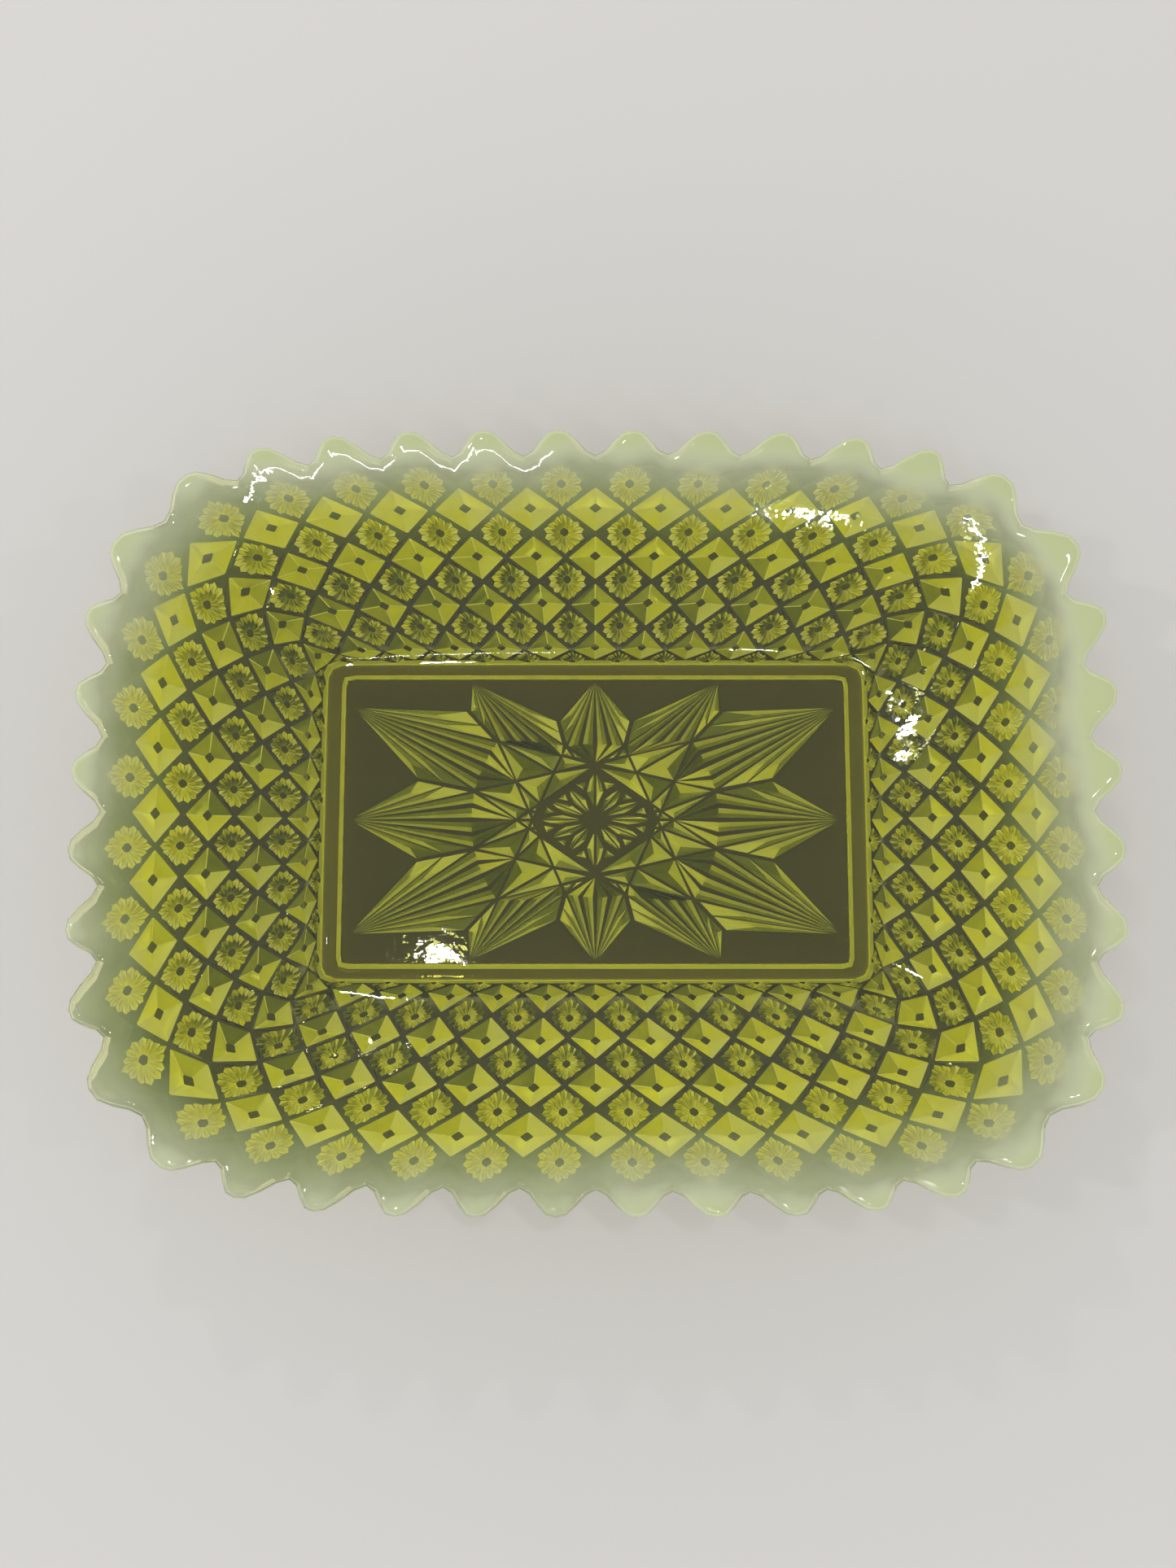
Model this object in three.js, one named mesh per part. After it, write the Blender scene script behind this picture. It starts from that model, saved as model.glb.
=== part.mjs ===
// Rectangular serving dish in pressed uranium glass with an opalescent rim.
//
// Millimetres, +Z up. The origin is the centre of the foot's underside, so the dish stands on Z = 0.
// +X runs along the long side and +Y towards the back.
//
// The real dish is one piece of glass. Here it is divided into its zones: the well floor, the
// star pressed under it, the standing foot band, the clear patterned wall and the milky rim. The
// wall and the rim are divided again at the four corners. Neighbouring zones share their faces.
import * as THREE from 'three';

// Driving dimensions
const RIM_HALF_LENGTH = 142; // rim line under the scallop tips, on the outer surface
const RIM_HALF_WIDTH = 107;
const RIM_SQUARENESS = 4; // exponent of the superellipse that the rim line follows
const FOOT_HALF_LENGTH = 81;
const FOOT_HALF_WIDTH = 47.8;
const FOOT_BAND_ENDS = 5.5; // width of the standing band on the short sides
const FOOT_BAND_SIDES = 4.4; // and on the long sides
const FOOT_HEIGHT = 2.6;
const FOOT_CORNER_RADIUS = 4;
const FLOOR_TOP = 8.2; // upper surface of the well, where food lies
const WELL_INSET = 2; // how far inside the foot line the flat of the well ends
const WALL_START = 0.6; // height of the patterned surface where it leaves the foot
const WALL_RISE = 40; // how far it would climb at its first slope
const WALL_EASING = 5; // how much less it climbs because the slope eases
const GLASS = 6; // from the tops of the pattern to the smooth inner surface
const RELIEF = 2.8; // depth of the grooves between the pattern's cells
const LIP = 4.6; // thickness of the plain lip
const LIP_ROUND = 0.035; // how far in the lip starts to round over, as a share of the wall
const SCALLOP_DEPTH = 0.11; // tip to valley, as a share of the wall

// The pattern: columns run round the dish and rows climb the wall. Column 0 is the middle of the
// back, 10 the middle of the right end, 20 the middle of the front and 30 the middle of the left.
const COLUMNS = 40;
const QUARTER = 10;
const CORNER_COLUMN = 6; // the foot's corner, counted from the middle of a long side
const CORNER_EXTRA = 0.175; // widening of the half column at each corner of the rim
const FIRST_ROW = 0.077; // places of the rows, as shares of the wall
const ROW_STEP = 0.0995;
const RIM_FROM_ROW = 7; // the first row in milky glass
const LAST_ROW = 8;
const PYRAMID_TOP = 0.18; // flat top of a pyramid, as a share of its cell
const DAISY_TOP = 0.52; // flat top of a daisy
const HALF_DAISY_PEAK = 0.35; // where the peak of a half daisy stands in the lowest row
const LIP_STEPS = 3; // straight facets along each half scallop
const RIM_ARC_DIVISIONS = 400; // steps in which the length of a rim arc is measured
const FOOT_CORNER_SEGMENTS = 6;

// Star under the well floor
const STAR_HEIGHT = 1.8;
const STAR_TIPS = [[0, 41.5], [36.5, 41], [72, 33.5], [72.5, 0]];
const STAR_NOTCHES = [[10.9, 29.5], [37.5, 32.3], [51, 11.4]];
const ROSETTE = [16.8, 10.8]; // half length and half width of the centre rosette

const clearGlass = {color: 0xb4b423, roughness: 0.06, metalness: 0};
const milkyGlass = {color: 0xc4d39c, roughness: 0.1, metalness: 0};

// A stretch of the superellipse between two directions, seen from the centre of the dish
class RimArc extends THREE.Curve {
  constructor(from, to) {
    super();
    this.from = from;
    this.to = to;
    this.arcLengthDivisions = RIM_ARC_DIVISIONS;
  }

  getPoint(u, target = new THREE.Vector3()) {
    const angle = THREE.MathUtils.lerp(this.from, this.to, u);
    const alongX = Math.pow(Math.cos(angle) / RIM_HALF_LENGTH, RIM_SQUARENESS);
    const alongY = Math.pow(Math.sin(angle) / RIM_HALF_WIDTH, RIM_SQUARENESS);
    const radius = Math.pow(alongX + alongY, -1 / RIM_SQUARENESS);
    return target.set(radius * Math.cos(angle), radius * Math.sin(angle), 0);
  }
}

const cornerSlope = Math.pow(RIM_HALF_WIDTH / RIM_HALF_LENGTH, RIM_SQUARENESS / (RIM_SQUARENESS - 1));
const cornerAngle = Math.atan(cornerSlope);
const longArc = new RimArc(Math.PI / 2, cornerAngle);
const shortArc = new RimArc(0, cornerAngle);

// Share of a rim arc up to a column counted from the middle of its side
function arcShare(column, columnsToCorner) {
  const past = Math.max(column - (columnsToCorner - 0.5), 0);
  return (column + 2 * CORNER_EXTRA * past) / (columnsToCorner + CORNER_EXTRA);
}

// Foot line and rim line at a column of the first quarter
function quarterLines(column) {
  const fromShortSide = QUARTER - column;
  const columnsToCorner = QUARTER - CORNER_COLUMN;
  if (column <= CORNER_COLUMN) {
    const foot = new THREE.Vector3(FOOT_HALF_LENGTH * column / CORNER_COLUMN, FOOT_HALF_WIDTH, 0);
    return {foot, rim: longArc.getPointAt(arcShare(column, CORNER_COLUMN))};
  }
  const footY = FOOT_HALF_WIDTH * fromShortSide / columnsToCorner;
  const foot = new THREE.Vector3(FOOT_HALF_LENGTH, footY, 0);
  return {foot, rim: shortArc.getPointAt(arcShare(fromShortSide, columnsToCorner))};
}

// Point on the surface through the tops of the pattern: share 0 is the foot and 1 the scallop tips
function outerPoint(column, share) {
  const turn = THREE.MathUtils.euclideanModulo(column, COLUMNS);
  const quarter = Math.floor(turn / QUARTER);
  const inQuarter = turn - quarter * QUARTER;
  const {foot, rim} = quarterLines(quarter % 2 === 0 ? inQuarter : QUARTER - inQuarter);
  const point = foot.lerp(rim, share);
  point.x *= quarter < 2 ? 1 : -1;
  point.y *= quarter === 0 || quarter === 3 ? 1 : -1;
  point.z = WALL_START + WALL_RISE * share - WALL_EASING * share * share;
  return point;
}

// Point in the wall, at a depth of glass under the tops of the pattern
function wallPoint(column, share, depth) {
  const small = 0.01;
  const along = outerPoint(column + small, share).sub(outerPoint(column - small, share));
  const up = outerPoint(column, share + small).sub(outerPoint(column, share - small));
  const inward = along.cross(up).normalize();
  return outerPoint(column, share).addScaledVector(inward, depth);
}

function rowShare(row) {
  return row < 1 ? FIRST_ROW * row : FIRST_ROW + ROW_STEP * (row - 1);
}

// Where two grooves cross, on the outer surface, and the inner surface over that place
function crossing(column, row) {
  if (row > 0) {
    return wallPoint(column, rowShare(row), RELIEF);
  }
  return outerPoint(column, 0).setZ(FOOT_HEIGHT);
}

function innerCrossing(column, row) {
  if (row > 0) {
    return wallPoint(column, rowShare(row), GLASS);
  }
  return wellEdge(column);
}

// Edge of the flat of the well, level with the foot line's corners
function wellEdge(column) {
  const {x, y} = outerPoint(column, 0);
  const alongX = 1 - WELL_INSET / FOOT_HALF_LENGTH;
  const alongY = 1 - WELL_INSET / FOOT_HALF_WIDTH;
  return new THREE.Vector3(x * alongX, y * alongY, FLOOR_TOP);
}

// Facets are collected as loose triangles, three points each, anticlockwise seen from outside
function addFan(facets, points) {
  for (let i = 1; i + 1 < points.length; i++) {
    facets.push(points[0], points[i], points[i + 1]);
  }
}

function namedMesh(name, geometry, look) {
  const mesh = new THREE.Mesh(geometry, new THREE.MeshStandardMaterial(look));
  mesh.name = name;
  return mesh;
}

function solid(name, facets, look) {
  const geometry = new THREE.BufferGeometry().setFromPoints(facets);
  geometry.computeVertexNormals();
  return namedMesh(name, geometry, look);
}

// A cell is a diamond between four groove crossings, listed clockwise seen from above
function cellCorners(column, row) {
  return [[column + 0.5, row], [column, row - 1], [column - 0.5, row], [column, row + 1]];
}

function inCell(column, row, across, along) {
  return wallPoint(column + across / 2, rowShare(row + along), 0);
}

function pyramidFacets(column, row) {
  const base = cellCorners(column, row).map(([c, r]) => crossing(c, r));
  const places = [[1, 0], [0, -1], [-1, 0], [0, 1]];
  const top = places.map(([x, y]) => inCell(column, row, PYRAMID_TOP * x, PYRAMID_TOP * y));
  const facets = [];
  for (let i = 0; i < 4; i++) {
    const next = (i + 1) % 4;
    addFan(facets, [base[i], base[next], top[next], top[i]]);
  }
  addFan(facets, top);
  return facets;
}

function daisyFacets(column, row) {
  const base = cellCorners(column, row).map(([c, r]) => crossing(c, r));
  const top = [];
  for (let i = 0; i < 8; i++) {
    const angle = -i * Math.PI / 4;
    top.push(inCell(column, row, DAISY_TOP * Math.cos(angle), DAISY_TOP * Math.sin(angle)));
  }
  const facets = [];
  for (let i = 0; i < 4; i++) {
    const before = top[(2 * i + 7) % 8];
    const at = top[2 * i];
    const after = top[2 * i + 1];
    facets.push(base[i], at, before);
    facets.push(base[i], after, at);
    facets.push(base[i], base[(i + 1) % 4], after);
  }
  addFan(facets, top);
  return facets;
}

// The lowest row shows only the upper halves of its daisies, cut off by the foot
function halfDaisyFacets(column) {
  const corners = [[column + 0.5, 0], [column - 0.5, 0], [column, 1]].map(([c, r]) => crossing(c, r));
  const peak = wallPoint(column, rowShare(HALF_DAISY_PEAK), 0);
  return [0, 1, 2].flatMap((i) => [corners[i], corners[(i + 1) % 3], peak]);
}

// Cells of a stretch of columns: pyramids stand in odd rows and daisies in even ones
function stretchCells(from, to, firstRow, lastRow) {
  const cells = [];
  for (let row = firstRow; row <= lastRow; row++) {
    const kind = row % 2 === 1 ? 'pyramid' : 'daisy';
    for (let column = from[kind]; column <= to[kind]; column++) {
      cells.push({column, row});
    }
  }
  return cells;
}

function cellFacets({column, row}) {
  if (row === 0) {
    return halfDaisyFacets(column);
  }
  return row % 2 === 1 ? pyramidFacets(column, row) : daisyFacets(column, row);
}

function cellOutline({column, row}) {
  if (row === 0) {
    return [[column + 0.5, 0], [column - 0.5, 0], [column, 1]];
  }
  return cellCorners(column, row);
}

function placeKey([column, row]) {
  return row * COLUMNS * 2 + THREE.MathUtils.euclideanModulo(Math.round(column * 2), COLUMNS * 2);
}

// Side of a zone along the groove from place a to place b. The lower place's diagonal is always
// taken, so that the zones on the two sides of a groove have the same two facets.
function addSide(facets, a, b) {
  const [outerA, outerB] = [crossing(...a), crossing(...b)];
  const [innerA, innerB] = [innerCrossing(...a), innerCrossing(...b)];
  if (placeKey(a) < placeKey(b)) {
    addFan(facets, [outerA, innerA, innerB, outerB]);
  } else {
    addFan(facets, [outerB, outerA, innerA, innerB]);
  }
}

// Patterned glass over a set of cells, with the inner surface and the sides that close it
function patternFacets(cells, openEdges = new Set()) {
  const facets = [];
  const edges = new Map();
  for (const cell of cells) {
    facets.push(...cellFacets(cell));
    const outline = cellOutline(cell);
    const inner = outline.map((place) => innerCrossing(...place)).reverse();
    addFan(facets, inner);
    outline.forEach((a, i) => {
      const b = outline[(i + 1) % outline.length];
      edges.set(`${placeKey(a)} ${placeKey(b)}`, [a, b]);
    });
  }
  for (const [key, [a, b]] of edges) {
    const twin = key.split(' ').reverse().join(' ');
    if (!edges.has(twin) && !openEdges.has(key)) {
      addSide(facets, a, b);
    }
  }
  return facets;
}

// Edge of the lip: share of the wall at a column, least in the valleys between the scallops
function lipShare(column) {
  const valley = (1 + Math.cos(2 * Math.PI * column)) / 2;
  return 1 - SCALLOP_DEPTH * valley;
}

// Section of the lip's edge at a column: under edge, outermost line and upper edge
function lipSection(column) {
  const share = lipShare(column);
  const under = wallPoint(column, share - LIP_ROUND, GLASS - LIP);
  const outermost = wallPoint(column, share, GLASS - LIP / 2);
  const upper = wallPoint(column, share - LIP_ROUND, GLASS);
  return {under, outermost, upper};
}

// Lip over one half scallop, from the valley column to the tip column
function halfScallopFacets(valley, tip) {
  const facets = [];
  const sections = [];
  for (let i = 0; i <= LIP_STEPS; i++) {
    sections.push(lipSection(THREE.MathUtils.lerp(valley, tip, i / LIP_STEPS)));
  }
  const low = [valley, LAST_ROW];
  const high = [tip, LAST_ROW + 1];
  for (let i = 0; i < LIP_STEPS; i++) {
    const [a, b] = [sections[i], sections[i + 1]];
    const anchor = i + 1 < LIP_STEPS ? low : high;
    facets.push(crossing(...anchor), a.under, b.under);
    facets.push(innerCrossing(...anchor), b.upper, a.upper);
    addFan(facets, [a.under, a.outermost, b.outermost, b.under]);
    addFan(facets, [a.outermost, a.upper, b.upper, b.outermost]);
  }
  const last = sections[LIP_STEPS - 1];
  facets.push(crossing(...low), last.under, crossing(...high));
  facets.push(innerCrossing(...low), innerCrossing(...high), last.upper);
  if (tip > valley) {
    return facets;
  }
  return flipped(facets);
}

function flipped(facets) {
  const turned = [];
  for (let i = 0; i < facets.length; i += 3) {
    turned.push(facets[i], facets[i + 2], facets[i + 1]);
  }
  return turned;
}

// End of the lip at a valley column, towards higher columns
function lipEndFacets(column) {
  const {under, outermost, upper} = lipSection(column);
  const facets = [];
  addFan(facets, [crossing(column, LAST_ROW), under, outermost, upper, innerCrossing(column, LAST_ROW)]);
  return facets;
}

// Milky rim between two valleys: the top two rows of the pattern and the plain scalloped lip
function rimFacets(cells, fromValley, toValley) {
  const joined = new Set();
  const facets = [];
  for (let valley = fromValley; valley < toValley; valley++) {
    const tip = valley + 0.5;
    const top = [tip, LAST_ROW + 1];
    joined.add(`${placeKey([valley, LAST_ROW])} ${placeKey(top)}`);
    joined.add(`${placeKey(top)} ${placeKey([valley + 1, LAST_ROW])}`);
    facets.push(...halfScallopFacets(valley, tip));
    facets.push(...halfScallopFacets(valley + 1, tip));
  }
  facets.push(...patternFacets(cells, joined));
  facets.push(...flipped(lipEndFacets(fromValley)));
  facets.push(...lipEndFacets(toValley));
  return facets;
}

// The wall's zones, by the columns of their first and last pyramids
const zones = [
  {name: 'back', first: -5, last: 5},
  {name: 'corner_back_right', first: 6, last: 6},
  {name: 'right', first: 7, last: 13},
  {name: 'corner_front_right', first: 14, last: 14},
  {name: 'front', first: 15, last: 25},
  {name: 'corner_front_left', first: 26, last: 26},
  {name: 'left', first: 27, last: 33},
  {name: 'corner_back_left', first: 34, last: 34},
];

function zoneCells(zone, firstRow, lastRow) {
  const corner = zone.first === zone.last;
  const reach = corner ? -0.5 : 0.5;
  const from = {pyramid: zone.first, daisy: zone.first + reach};
  const to = {pyramid: zone.last, daisy: zone.last - reach};
  return stretchCells(from, to, firstRow, lastRow);
}

function makeWall() {
  const wall = new THREE.Group();
  for (const zone of zones) {
    const cells = zoneCells(zone, 0, RIM_FROM_ROW - 1);
    wall.add(solid(`wall_${zone.name}`, patternFacets(cells), clearGlass));
  }
  return wall;
}

function makeRim() {
  const rim = new THREE.Group();
  for (const zone of zones) {
    const cells = zoneCells(zone, RIM_FROM_ROW, LAST_ROW);
    const corner = zone.first === zone.last;
    const fromValley = corner ? zone.first - 1 : zone.first;
    const toValley = corner ? zone.last + 1 : zone.last;
    rim.add(solid(`rim_${zone.name}`, rimFacets(cells, fromValley, toValley), milkyGlass));
  }
  return rim;
}

// Slab of the well. Its edge leans inwards, with a vertex at every column of the wall.
function makeFloor() {
  const facets = [];
  const underside = new THREE.Vector3(0, 0, FOOT_HEIGHT);
  const top = new THREE.Vector3(0, 0, FLOOR_TOP);
  for (let column = 0; column < COLUMNS; column++) {
    const [lowA, lowB] = [crossing(column, 0), crossing(column + 1, 0)];
    const [highA, highB] = [wellEdge(column), wellEdge(column + 1)];
    facets.push(underside, lowA, lowB);
    facets.push(top, highB, highA);
    addFan(facets, [lowA, highA, highB, lowB]);
  }
  return solid('well_floor', facets, clearGlass);
}

// Standing band: four bars, and four corner blocks rounded on the outside
function makeFoot() {
  const foot = new THREE.Group();
  const innerLength = 2 * (FOOT_HALF_LENGTH - FOOT_BAND_ENDS);
  const innerWidth = 2 * (FOOT_HALF_WIDTH - FOOT_BAND_SIDES);
  const barX = FOOT_HALF_LENGTH - FOOT_BAND_ENDS / 2;
  const barY = FOOT_HALF_WIDTH - FOOT_BAND_SIDES / 2;
  for (const [name, side] of [['foot_front', -1], ['foot_back', 1]]) {
    const block = new THREE.BoxGeometry(innerLength, FOOT_BAND_SIDES, FOOT_HEIGHT);
    const bar = namedMesh(name, block, clearGlass);
    bar.position.set(0, side * barY, FOOT_HEIGHT / 2);
    foot.add(bar);
  }
  for (const [name, side] of [['foot_left', -1], ['foot_right', 1]]) {
    const block = new THREE.BoxGeometry(FOOT_BAND_ENDS, innerWidth, FOOT_HEIGHT);
    const bar = namedMesh(name, block, clearGlass);
    bar.position.set(side * barX, 0, FOOT_HEIGHT / 2);
    foot.add(bar);
  }
  const corners = [
    {name: 'back_right', x: 1, y: 1, turn: 0},
    {name: 'back_left', x: -1, y: 1, turn: 1},
    {name: 'front_left', x: -1, y: -1, turn: 2},
    {name: 'front_right', x: 1, y: -1, turn: 3},
  ];
  for (const {name, x, y, turn} of corners) {
    const sideways = turn % 2 === 1;
    const alongX = sideways ? FOOT_BAND_SIDES : FOOT_BAND_ENDS;
    const alongY = sideways ? FOOT_BAND_ENDS : FOOT_BAND_SIDES;
    const outline = new THREE.Shape();
    outline.moveTo(0, 0);
    outline.lineTo(alongX, 0);
    outline.lineTo(alongX, alongY - FOOT_CORNER_RADIUS);
    const [centreX, centreY] = [alongX - FOOT_CORNER_RADIUS, alongY - FOOT_CORNER_RADIUS];
    outline.absarc(centreX, centreY, FOOT_CORNER_RADIUS, 0, Math.PI / 2);
    outline.lineTo(0, alongY);
    const settings = {depth: FOOT_HEIGHT, bevelEnabled: false, curveSegments: FOOT_CORNER_SEGMENTS};
    const block = new THREE.ExtrudeGeometry(outline, settings);
    const corner = namedMesh(`foot_corner_${name}`, block, clearGlass);
    corner.position.set(x * innerLength / 2, y * innerWidth / 2, 0);
    corner.rotation.z = turn * Math.PI / 2;
    foot.add(corner);
  }
  return foot;
}

// Points of the star in all four quarters, anticlockwise from the right-hand tip
function starRing() {
  const quarter = [];
  for (let i = STAR_TIPS.length - 1; i > 0; i--) {
    quarter.push({tip: true, at: STAR_TIPS[i]});
    quarter.push({tip: false, at: STAR_NOTCHES[i - 1]});
  }
  const top = {tip: true, at: STAR_TIPS[0]};
  const mirror = (points, x, y) => points.map(({tip, at}) => ({tip, at: [at[0] * x, at[1] * y]}));
  const upper = [...quarter, top, ...mirror(quarter, -1, 1).reverse()];
  const lower = mirror(upper.slice(1, -1), 1, -1).reverse();
  return [...upper, ...lower];
}

// Raised star: each point rises as two facets from its edges to a ridge, round a faceted rosette
function makeStar() {
  const ring = starRing();
  const level = FOOT_HEIGHT;
  const edge = ring.map(({at}) => new THREE.Vector3(at[0], at[1], level));
  const rosette = ring.map(({tip, at}) => {
    const angle = Math.atan2(at[1] * ROSETTE[0], at[0] * ROSETTE[1]);
    const height = tip ? level - STAR_HEIGHT : level - STAR_HEIGHT / 2;
    return new THREE.Vector3(ROSETTE[0] * Math.cos(angle), ROSETTE[1] * Math.sin(angle), height);
  });
  const heart = new THREE.Vector3(0, 0, level - STAR_HEIGHT);
  const facets = [];
  ring.forEach((point, i) => {
    const next = (i + 1) % ring.length;
    if (point.tip) {
      addFan(facets, [edge[i], rosette[i], rosette[next], edge[next]]);
    } else {
      addFan(facets, [rosette[next], edge[next], edge[i], rosette[i]]);
    }
    facets.push(heart, rosette[next], rosette[i]);
  });
  const outline = edge.map(({x, y}) => new THREE.Vector2(x, y));
  for (const [a, b, c] of THREE.ShapeUtils.triangulateShape(outline, [])) {
    facets.push(edge[a], edge[b], edge[c]);
  }
  return solid('base_star', facets, clearGlass);
}

const dish = new THREE.Group();
dish.add(makeFloor(), makeStar(), makeFoot(), makeWall(), makeRim());

export default dish;
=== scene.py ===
"""Rectangular serving dish in pressed uranium glass with a milky, scalloped rim.

Lengths are in millimetres until the mesh is made, and then in metres.
"""
import math
import random

import bmesh
import bpy
import numpy as np
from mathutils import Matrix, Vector
from mathutils.geometry import delaunay_2d_cdt


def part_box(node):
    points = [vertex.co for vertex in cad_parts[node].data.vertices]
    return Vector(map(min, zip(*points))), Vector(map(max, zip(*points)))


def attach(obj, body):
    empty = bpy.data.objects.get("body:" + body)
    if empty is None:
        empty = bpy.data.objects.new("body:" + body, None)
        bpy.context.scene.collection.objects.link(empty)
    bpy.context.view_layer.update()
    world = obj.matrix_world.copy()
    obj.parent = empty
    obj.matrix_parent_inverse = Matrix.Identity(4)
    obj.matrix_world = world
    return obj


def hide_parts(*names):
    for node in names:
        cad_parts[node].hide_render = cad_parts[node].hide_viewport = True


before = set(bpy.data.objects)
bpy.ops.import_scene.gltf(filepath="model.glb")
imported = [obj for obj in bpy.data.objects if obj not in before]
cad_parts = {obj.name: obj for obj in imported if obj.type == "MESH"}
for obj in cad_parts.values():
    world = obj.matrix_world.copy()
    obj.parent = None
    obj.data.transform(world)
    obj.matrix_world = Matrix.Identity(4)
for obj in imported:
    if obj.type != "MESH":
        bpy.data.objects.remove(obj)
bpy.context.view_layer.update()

MM = 0.001

# Sizes that the frame gives
floor_low, floor_high = (np.array(corner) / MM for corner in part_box("well_floor"))
FOOT_HALF_LENGTH, FOOT_HALF_WIDTH, FLOOR_TOP = floor_high
FOOT_HEIGHT = floor_low[2]
FOOT_INNER_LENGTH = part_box("foot_right")[0][0] / MM
FOOT_INNER_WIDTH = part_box("foot_back")[0][1] / MM

# The wall: a loft from the foot's rectangle to the rim's rounded outline, as in the CAD model
RIM_HALF_LENGTH = 142.0
RIM_HALF_WIDTH = 107.0
RIM_SQUARENESS = 4
RIM_HEIGHT = 40.0
WALL_START = 0.6
WALL_RISE = 40.0
WALL_EASING = 5.0
GLASS = 6.0
FOOT_CORNER_RADIUS = 4.0
LINE_STEPS = 600
ARC_STEPS = 24

# Columns and rows of the pattern, counted clockwise from the back and upwards from the foot
COLUMNS = 40
QUARTER = 10
CORNER_COLUMN = 6
CORNER_EXTRA = 0.175
FIRST_ROW = 0.077
ROW_STEP = 0.0995
LAST_ROW = 8
SAMPLES = 8

# Inner surface: its distance inside the outer lines, and the fillet round the well
INNER_SHIFT = 3.2
INNER_RIM_SHIFT = 2.7
INNER_CORNER_RADIUS = 9.0
INNER_LIFT = 5.1
FILLET = 2.2
INNER_START = -0.075
LOW_RISE = 0.2
LOW_RINGS = 8
HIGH_RINGS = 18
WELL_SUPPORT = 0.985

# The lip: its thickness, and the scallops as shares of the wall's height
LIP = 4.6
LIP_STEPS = 8
TIP_SHARE = 0.994
SCALLOP_DEPTH = 0.104
VALLEY_SHARPNESS = 1.3
DEPTH_WOBBLE = 0.10
DEPTH_SEED = 1.3
TIP_WOBBLE = 0.005
TIP_SEED = 2.1
BAND_RINGS = 6

# Points of two surfaces that meet are closer than this, and become one
WELD = 0.004

# Relief of the pattern in millimetres. Other sizes of a cell are shares of half the cell
RELIEF = 2.9
FOOT_PLANE = 1.2
GROOVE = 0.10
PYRAMID_TOP = 0.20
RIDGE_FLAT = 0.028
TOP_RIDGE_FLAT = 4 * RIDGE_FLAT
PETALS = 14
DAISY_SIZE = 0.365
HUB = 0.21
PETAL_RIDGE = 0.66
PETAL_VALLEY = 0.50
PETAL_NOTCH = 0.86
PETAL_SHARE = 0.90
RIDGE_DEPTH = 0.25 * RELIEF
VALLEY_DEPTH = 0.70 * RELIEF

# The foot in section. Outside: how far in from the edge, and the height. Inside: how far past the
# band's inner edge towards the middle, the height and the corner radius
FOOT_GAP = 0.1
FOOT_OUTSIDE = [(0.50, 0.60), (0.85, 0.16), (1.2, FOOT_GAP)]
FOOT_INSIDE = [
    (-0.6, FOOT_GAP, 2.4),
    (-0.15, 0.16, 2.2),
    (0.1, 0.5, 2.0),
    (1.3, FOOT_HEIGHT - 0.35, 1.4),
    (1.55, FOOT_HEIGHT - 0.06, 1.2),
    (1.9, FOOT_HEIGHT, 1.0),
]

# The star: tips and notches of a quarter, clockwise from the back
STAR_TIPS = np.array([[0, 41.5], [36.5, 41.0], [72, 33.5], [72.5, 0]])
STAR_NOTCHES = np.array([[10.6, 29.0], [37.0, 32.3], [52.0, 11.8]])
STAR_POINTS = 12
STAR_REACH = 5
STAR_SLOPE = 1.0
STAR_MOST = 2.1
STAR_GROOVE = 0.40
FLUTES = 4
FLUTE_MARGINS = (0.03, 0.34, 0.05, 0.34)
VALLEY_MARGIN = 0.12
SHOULDER_BOW = 0.05
LEAST_FACE = 0.3
LEAST_CELL = 0.15
LEAST_SIDE = 0.02
SAME_PLACE = 0.01
ROSETTE_STRETCH = np.array([1.43, 1.0])
ROSETTE_REACH = 0.845
SPEAR = [(0.30, 0.02), (1.0, 0.02), (0.86, 0.08), (0.62, 0.125)]
SMALL_TRIANGLE = [(0.84, 0.0), (1.02, 0.10), (1.02, -0.10)]
CIRCLE_TRIALS = 200
CIRCLE_SHRINK = 0.85

# Painted light and shade of the cut facets: those that face one side are painted brighter, as if lit
# from that side
PAINTED_LIGHT_LEAST = 0.13
PAINTED_LIGHT_SIDE = (0.64, -0.77)
PAINTED_LIGHT_CHANCE = 0.65
PAINTED_LIGHT_LEVEL = 0.5
HIGH_PAINTED_LIGHT_LEAST = 0.62
HIGH_PAINTED_LIGHT_START = 18.0
HIGH_PAINTED_LIGHT_RISE = 10.0
# Painted highlight on the pyramids' ridge flats, painted shade on the dark sides of the star's roofs,
# and painted highlights on the foot's edges
RIDGE_PAINTED_HIGHLIGHT = 0.85
STAR_SHADE = 0.15
STAR_CHANCE = 0.75
FOOT_EDGE_PAINTED_HIGHLIGHTS = {0: 0.9, 1: 0.7, 5: 1.0, 6: 1.0}
CHANCE_SEED = 12

# Milk in the glass, the side of the glass that a face is on, which also sets the painted shade of its
# flat ground, and the share of a facet that shows painted light instead of clear glass, as shares
OUTSIDE = 1.0
UNDER_FOOT = 0.6
INSIDE = 0.0
UNDER_SHIFT = 0.125
MILK_LEAN = 0.22
MILK_CLOUD = 0.20
MILK_CLEARED = 0.10
FACET_PAINTED_LIGHT_SHARE = 0.86
FACET_MOTTLE = 0.30
FACET_MARK = 0.01

# Glass: refraction and absorption, and each noise as scale, detail and roughness
REFRACTION = 1.52
ABSORPTION_COLOUR = (0.95, 0.96, 0.1, 1)
ABSORPTION_DENSITY = 120.0
POLISHED = 0.01
WORN = 0.07
RIPPLE_STRENGTH = 0.14
RIPPLE_HEIGHT = 0.6
PATCHES = (26.0, 3.0, 0.55)
MOTTLE = (90.0, 4.0, 0.6)
WEAR = (400.0, 5.0, 0.7)
RIPPLE = (140.0, 3.0, 0.5)

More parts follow.
